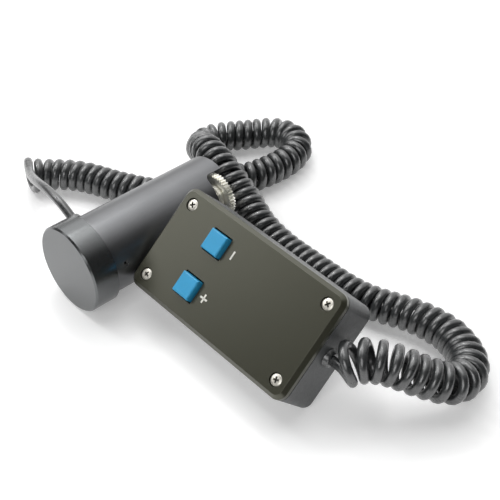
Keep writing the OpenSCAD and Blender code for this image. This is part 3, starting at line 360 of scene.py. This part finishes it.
class Curls:
    """Points of a helix round the route; its pitch opens in bends and next to the handset."""

    def __init__(self):
        self.axis = catmull(ROUTE, ROUTE_STEPS)
        n = self.last = len(self.axis) - 1
        self.dirs = [(self.axis[min(i + 1, n)] - self.axis[max(i - 1, 0)]).normalized()
                     for i in range(n + 1)]
        self.r = (CURL_D - CORD_D) / 2 * MM
        self.end_r = (END_CURL_D - CORD_D) / 2 * MM
        phase = [0.0]
        for i in range(n):
            step = (self.axis[i + 1] - self.axis[i]).length
            phase.append(phase[-1] + step / max(self.sparseness(i), self.opening(i)))
        self.phase = [p / phase[-1] * CURLS for p in phase]

    def sparseness(self, i):
        a, b = max(i - BEND_SPAN, 0), min(i + BEND_SPAN, self.last)
        bend = (self.dirs[b] - self.dirs[a]).length / (self.axis[b] - self.axis[a]).length
        room = max(BEND_LEAST, 1 - self.r * bend)
        return min(MOST_SPARSE, max(1, (1 + CURL_GAP / CORD_D) * BEND_EASE / room))

    def opening(self, i):
        return 1 + (OPEN_PITCH / CLOSED_PITCH - 1) * max(0, 1 - i / self.last * CURLS / OPEN_CURLS)

    def radius(self, turn):
        extra = self.end_r - self.r
        return max(self.r, self.end_r - extra * turn / TAPER_CURLS,
                   self.end_r - extra * (CURLS - turn) / LAST_CURLS)

    def point(self, turn):
        i = 0
        while i < self.last - 1 and self.phase[i + 1] < turn:
            i += 1
        t = min(1, (turn - self.phase[i]) / (self.phase[i + 1] - self.phase[i]))
        at = self.axis[i].lerp(self.axis[i + 1], t)
        ahead = self.dirs[i].lerp(self.dirs[i + 1], t).normalized()
        left = Vector((-ahead.y, ahead.x, 0)).normalized()
        up = ahead.cross(left) - CURL_LEAN * max(0, 1 - turn / LEAN_CURLS) * ahead
        a = 2 * math.pi * turn
        return at - self.radius(turn) * (math.cos(a) * up + math.sin(a) * left)


def cord_points():
    """Middle line of the cord, from the handset's grommet to the motor unit's bush."""
    curls = Curls()
    wound = [curls.point(k / RINGS_PER_CURL)
             for k in range(int(FIRST_TURN * RINGS_PER_CURL), int(CURLS * RINGS_PER_CURL) + 1)]
    first = (curls.point(FIRST_TURN + SMALL_TURN) - curls.point(FIRST_TURN)).normalized()
    final = (curls.point(CURLS) - curls.point(CURLS - SMALL_TURN)).normalized()
    out_a = Vector((0, -1, 0))
    exit_a = from_handset(0, -CASE_LEN / 2 - GROMMET_OUT, EXIT_Z) * MM
    across, above = math.cos(BUSH_ANGLE), math.sin(BUSH_ANGLE)
    out_b = (from_unit(across, above, 0) - from_unit(0, 0, 0)).normalized()
    reach = TUBE_R + BUSH_H
    exit_b = from_unit(reach * across, reach * above, CAP_LEN + BUSH_AT) * MM
    from_a, to_b = exit_a + CORD_D * MM * out_a, exit_b + CORD_D * MM * out_b
    pull_out, pull_in, pull_b = (pull * MM for pull in TAIL_PULL)
    tail_a = [bridge(from_a, pull_out * out_a, wound[0], pull_in * first, k / TAIL_RINGS)
              for k in range(TAIL_RINGS)]
    tail_b = [bridge(wound[-1], pull_b * final, to_b, -pull_b * out_b, k / (2 * TAIL_RINGS))
              for k in range(1, 2 * TAIL_RINGS + 1)]
    return [exit_a] + tail_a + wound + tail_b + [exit_b]


def make_cord():
    points = cord_points()
    curve = bpy.data.curves.new("curly_cord_jacket", "CURVE")
    curve.dimensions = "3D"
    curve.bevel_depth = CORD_D / 2 * MM
    curve.bevel_resolution = CORD_ROUNDNESS
    curve.use_fill_caps = True
    spline = curve.splines.new("POLY")
    spline.points.add(len(points) - 1)
    for target, p in zip(spline.points, points):
        target.co = (*p, 1)
    spline.use_smooth = True
    cord = bpy.data.objects.new("curly_cord_jacket", curve)
    scene.collection.objects.link(cord)
    curve.materials.append(LOOKS["cord_rubber"])
    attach(cord, ROOT)
    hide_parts("curly_cord")


make_cord()


# Pieces made from the CAD nodes, with softened edges
BEVEL_STEPS, BEVEL_ANGLE = 3, 34
WELD_DIST, FLAT_ANGLE, FLAT_WEIGHT = 0.000002, 0.6, 80


def add_piece(name, mesh, slot, body, *replaced):
    """A mesh as a piece of the scene, riding on a body."""
    piece = bpy.data.objects.new(name, mesh)
    scene.collection.objects.link(piece)
    mesh.materials.clear()
    mesh.materials.append(LOOKS[slot])
    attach(piece, body)
    if replaced:
        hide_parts(*replaced)
    return piece


def soften(node, width):
    """A copy of a node with its sharp edges rounded and its flat faces kept flat."""
    mesh = NODES[node].data.copy()
    mesh.name = node + "_soft"
    bm = bmesh.new()
    bm.from_mesh(mesh)
    bmesh.ops.remove_doubles(bm, verts=bm.verts, dist=WELD_DIST)
    bmesh.ops.dissolve_limit(bm, angle_limit=math.radians(FLAT_ANGLE),
                             verts=bm.verts, edges=bm.edges)
    bm.to_mesh(mesh)
    bm.free()
    smooth(mesh, BEVEL_ANGLE)
    maker = bpy.data.objects.new("maker", mesh)
    scene.collection.objects.link(maker)
    bevel = maker.modifiers.new("bevel", "BEVEL")
    bevel.width = width * MM
    bevel.segments = BEVEL_STEPS
    bevel.limit_method = "ANGLE"
    bevel.angle_limit = math.radians(BEVEL_ANGLE)
    bevel.use_clamp_overlap = True
    weights = maker.modifiers.new("weights", "WEIGHTED_NORMAL")
    weights.mode = "FACE_AREA"
    weights.weight = FLAT_WEIGHT
    weights.keep_sharp = False
    depsgraph = bpy.context.evaluated_depsgraph_get()
    made = bpy.data.meshes.new_from_object(maker.evaluated_get(depsgraph))
    bpy.data.objects.remove(maker)
    made.name = node + "_soft"
    add_piece(node + "_dressed", made, SLOT_OF[node], BODY_OF[node], node)


SOFTENED = {
    "handset_case": 0.4, "handset_lid": 0.16, "near_button_cap": 0.14, "far_button_cap": 0.14,
    "end_cap": 0.2, "motor_tube": 0.12, "cord_grommet": 0.4, "cord_bush": 0.3,
    "cap_set_screws": 0.1, "drive_gear": 0.06,
}
for node, width in SOFTENED.items():
    soften(node, width)


def make_spring(side):
    node = side + "_return_spring"
    piece = add_piece(node + "_coil", NODES[node].data.copy(), SLOT_OF[node], ROOT, node)
    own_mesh(piece)


make_spring("near")
make_spring("far")


# Lid screws with domed heads and tapered crosses, each turned its own way
HEAD_R, HEAD_H, HEAD_EDGE, DOME_H = 2.8, 1.5, 0.1, 0.5
SHANK_R, SHANK_LEN, SCREW_SIDES, SCREW_SHARP, DOME_STEP = 1.45, 12.0, 40, 38, 15
CROSS_TOP, CROSS_LOW = (1.75, 0.46), (0.7, 0.3)
CROSS_OVER, CROSS_DEEP, CROSS_SHIFT = 0.3, 1.3, 0.001
SCREW_TURNS = {(-1, -1): 20, (1, -1): 52, (-1, 1): 75, (1, 1): 38}


def lathe(bm, profile, count):
    """Surface of revolution round Z through (radius, height) points, closed at both ends."""
    rings = []
    turns = [2 * math.pi * k / count for k in range(count)]
    for r, z in profile:
        if r == 0:
            rings.append([bm.verts.new((0, 0, z))])
        else:
            rings.append([bm.verts.new((r * math.cos(a), r * math.sin(a), z)) for a in turns])
    for low, high in zip(rings, rings[1:]):
        for k in range(count):
            n = (k + 1) % count
            if len(low) == 1:
                bm.faces.new((low[0], high[n], high[k]))
            elif len(high) == 1:
                bm.faces.new((low[k], low[n], high[0]))
            else:
                bm.faces.new((low[k], low[n], high[n], high[k]))


def mesh_of(name, fill):
    mesh = bpy.data.meshes.new(name)
    bm = bmesh.new()
    fill(bm)
    bmesh.ops.recalc_face_normals(bm, faces=bm.faces)
    bm.to_mesh(mesh)
    bm.free()
    return mesh


def screw_body(bm):
    dome = [(HEAD_R * math.sin(a), -DOME_H + DOME_H * math.cos(a))
            for a in map(math.radians, range(90, -1, -DOME_STEP))]
    lathe(bm, [(0, -HEAD_H - SHANK_LEN), (SHANK_R, -HEAD_H - SHANK_LEN), (SHANK_R, -HEAD_H),
               (HEAD_R - HEAD_EDGE, -HEAD_H), (HEAD_R, -HEAD_H + HEAD_EDGE)] + dome, SCREW_SIDES)


def cross_corners(bm, spin, half, z):
    """Four corners of one bar of the cross, at one height."""
    return [bm.verts.new(spin @ Vector((i * half[0], j * half[1], z)))
            for i, j in ((1, 1), (-1, 1), (-1, -1), (1, -1))]


def cross_cutter(bm):
    for turn in (0, 90):
        spin = Matrix.Rotation(math.radians(turn), 3, "Z")
        lift = CROSS_SHIFT * (turn > 0)
        upper = cross_corners(bm, spin, CROSS_TOP, CROSS_OVER + lift)
        lower = cross_corners(bm, spin, CROSS_LOW, -CROSS_DEEP - lift)
        bm.faces.new(upper)
        bm.faces.new(lower[::-1])
        for k in range(4):
            n = (k + 1) % 4
            bm.faces.new((upper[n], upper[k], lower[k], lower[n]))


def cut(mesh, cutter):
    """The mesh less the cutter."""
    maker = bpy.data.objects.new("maker", mesh)
    tool = bpy.data.objects.new("tool", cutter)
    for obj in (maker, tool):
        scene.collection.objects.link(obj)
    boolean = maker.modifiers.new("cut", "BOOLEAN")
    boolean.operation = "DIFFERENCE"
    boolean.solver = "EXACT"
    boolean.use_self = True
    boolean.object = tool
    depsgraph = bpy.context.evaluated_depsgraph_get()
    made = bpy.data.meshes.new_from_object(maker.evaluated_get(depsgraph))
    for obj in (maker, tool):
        bpy.data.objects.remove(obj)
    return made


def make_screws():
    one = cut(mesh_of("screw_body", screw_body), mesh_of("cross_cutter", cross_cutter))
    for (x, y), turn in SCREW_TURNS.items():
        mesh = one.copy()
        mesh.name = f"lid_screw_{'near' if y < 0 else 'far'}_{'right' if x > 0 else 'left'}"
        place = Matrix.Translation((x * SCREW_X, y * SCREW_Y, CASE_H - SCREW_SUNK))
        mesh.transform(HANDSET_MATRIX @ place @ Matrix.Rotation(math.radians(turn), 4, "Z"))
        smooth(mesh, SCREW_SHARP)
        add_piece(mesh.name, mesh, "nickel_screws", ROOT, "lid_screws")


make_screws()


# Plain signs printed below the buttons
SIGN_LEN, SIGN_W, SIGN_T, SIGN_BELOW, SIGN_LIFT = 4.2, 0.9, 0.04, 10.2, 0.01


def sign_bars(bm, bars):
    for across, along in bars:
        bmesh.ops.create_cube(bm, size=1, matrix=Matrix.Diagonal((across, along, SIGN_T, 1)))


def make_sign(name, x, bars):
    mesh = mesh_of(name, lambda bm: sign_bars(bm, bars))
    place = Matrix.Translation((x, BUTTON_Y - SIGN_BELOW, CASE_H + SIGN_LIFT))
    mesh.transform(HANDSET_MATRIX @ place)
    add_piece(name, mesh, "white_plastic", ROOT)


make_sign("near_sign", BUTTON_X, [(SIGN_LEN, SIGN_W)])
make_sign("far_sign", -BUTTON_X, [(SIGN_LEN, SIGN_W), (SIGN_W, SIGN_LEN)])


# Floor and lights, in metres and watts; every lamp faces the origin
FLOOR_HALF, FLOOR_LIFT = 4, 0.25
SKY_TOWARD = Vector((0.6, 0.45, 0.66)).normalized()
SKY_FADE, SKY_STRENGTH = (0.4, 0.9), (0.03, 1.0)
LAMPS = {
    "rear": ((0.45, 1.1, 0.85), (1.3, 0.8), 2.5),
    "rear_left": ((-0.64, 0.92, 0.78), (0.6, 0.6), 2.5),
    "left": ((-0.9, -0.4, 0.75), (0.7, 0.7), 5),
    "top": ((0.1, 0.3, 1.3), (0.9, 0.9), 5),
    "rear_left_spot": ((-0.25, 0.9, 1.0), (0.2, 0.2), 2),
    "rear_right_spot": ((0.35, 0.7, 1.15), (0.2, 0.2), 2),
}

floor_mesh = bpy.data.meshes.new("floor")
floor_bm = bmesh.new()
bmesh.ops.create_grid(floor_bm, x_segments=1, y_segments=1, size=FLOOR_HALF)
floor_bm.to_mesh(floor_mesh)
floor_bm.free()
floor = bpy.data.objects.new("floor", floor_mesh)
scene.collection.objects.link(floor)


def floor_shader():
    """White paper that keeps shadows, lifted to white for the camera and for shiny pieces."""
    s = Shader("floor_paper", (0.9, 0.9, 0.9), 0.9, specular=0.1)
    s.tint(s.noise(3, 3), 0.99, 1.01)
    path = s.node("ShaderNodeLightPath")
    seen = path.outputs["Is Camera Ray"]
    for ray in ("Is Glossy Ray", "Is Transmission Ray"):
        most = s.node("ShaderNodeMath", operation="MAXIMUM")
        s.link(seen, most.inputs[0])
        s.link(path.outputs[ray], most.inputs[1])
        seen = most.outputs["Value"]
    lift = s.node("ShaderNodeMath", operation="MULTIPLY")
    lift.inputs[1].default_value = FLOOR_LIFT
    s.link(seen, lift.inputs[0])
    s.bsdf.inputs["Emission Color"].default_value = (1, 1, 1, 1)
    s.link(lift.outputs["Value"], s.bsdf.inputs["Emission Strength"])
    return s.material


floor_mesh.materials.append(floor_shader())


def studio_world():
    """Pale round the back and above, dim on the camera's side."""
    world = bpy.data.worlds.new("studio")
    scene.world = world
    world.use_nodes = True
    tree = world.node_tree
    background = tree.nodes["Background"]
    background.inputs["Color"].default_value = (1, 1, 1, 1)
    toward = tree.nodes.new("ShaderNodeVectorMath")
    toward.operation = "DOT_PRODUCT"
    toward.inputs[1].default_value = SKY_TOWARD
    tree.links.new(tree.nodes.new("ShaderNodeTexCoord").outputs["Generated"], toward.inputs[0])
    ramp = tree.nodes.new("ShaderNodeMapRange")
    ramp.interpolation_type = "SMOOTHSTEP"
    ramp.inputs["From Min"].default_value, ramp.inputs["From Max"].default_value = SKY_FADE
    ramp.inputs["To Min"].default_value, ramp.inputs["To Max"].default_value = SKY_STRENGTH
    tree.links.new(toward.outputs["Value"], ramp.inputs["Value"])
    tree.links.new(ramp.outputs["Result"], background.inputs["Strength"])


studio_world()


def area_light(name, at, size, power):
    data = bpy.data.lights.new(name, "AREA")
    data.shape = "RECTANGLE"
    data.size, data.size_y = size
    data.energy = power
    lamp = bpy.data.objects.new(name, data)
    scene.collection.objects.link(lamp)
    lamp.location = at
    lamp.rotation_euler = (-Vector(at)).to_track_quat("-Z", "Y").to_euler()


for lamp_name, values in LAMPS.items():
    area_light(lamp_name, *values)

scene.view_settings.view_transform = "Standard"
